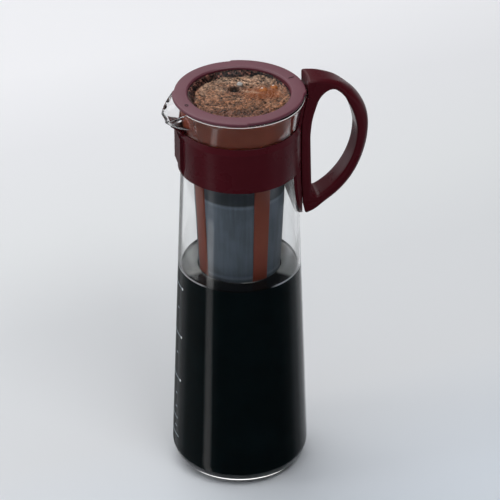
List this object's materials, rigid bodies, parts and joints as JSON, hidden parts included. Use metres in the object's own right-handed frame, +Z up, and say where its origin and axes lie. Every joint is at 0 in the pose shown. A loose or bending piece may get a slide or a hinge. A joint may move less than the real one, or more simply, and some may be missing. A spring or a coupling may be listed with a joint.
{
  "type": "cold brew coffee maker",
  "caption": "Tall tapering glass pot with a flared spout, a burgundy neck strap and slide-on D-shaped handle, and a hanging filter basket with a ring on the mouth.",
  "frame": {"origin": "centre of the jug's underside, on the table", "axes": "+Z up along the jug's axis, +X towards the handle, the spout points along -X"},
  "size_m": [0.1398, 0.094, 0.2946],
  "materials": {
    "clear_glass": "clear polished",
    "burgundy_plastic": "glossy moulded",
    "brown_plastic": "translucent satin",
    "gauze": "fine woven nylon",
    "grounds": "wet ground coffee with foam",
    "coffee": "dark liquid"
  },
  "bodies": {
    "jug": {"glass_jug": "clear_glass", "collar_band": "burgundy_plastic", "brewed_coffee": "coffee"},
    "handle": {"handle": "burgundy_plastic"},
    "filter": {"rim_ring": "burgundy_plastic", "filter_frame": "brown_plastic", "mesh_panel_1": "gauze", "mesh_panel_2": "gauze", "mesh_panel_3": "gauze", "mesh_panel_4": "gauze", "mesh_floor": "gauze", "coffee_grounds": "grounds"}
  },
  "joints": [
    {"name": "handle_slide", "type": "slide", "parent": "jug", "child": "handle", "axis": [0.0366, 0, -0.9993], "range_m": [0, 0.066]},
    {"name": "filter_lift", "type": "slide", "parent": "jug", "child": "filter", "axis": [0, 0, 1], "range_m": [0, 0.17]}
  ]
}
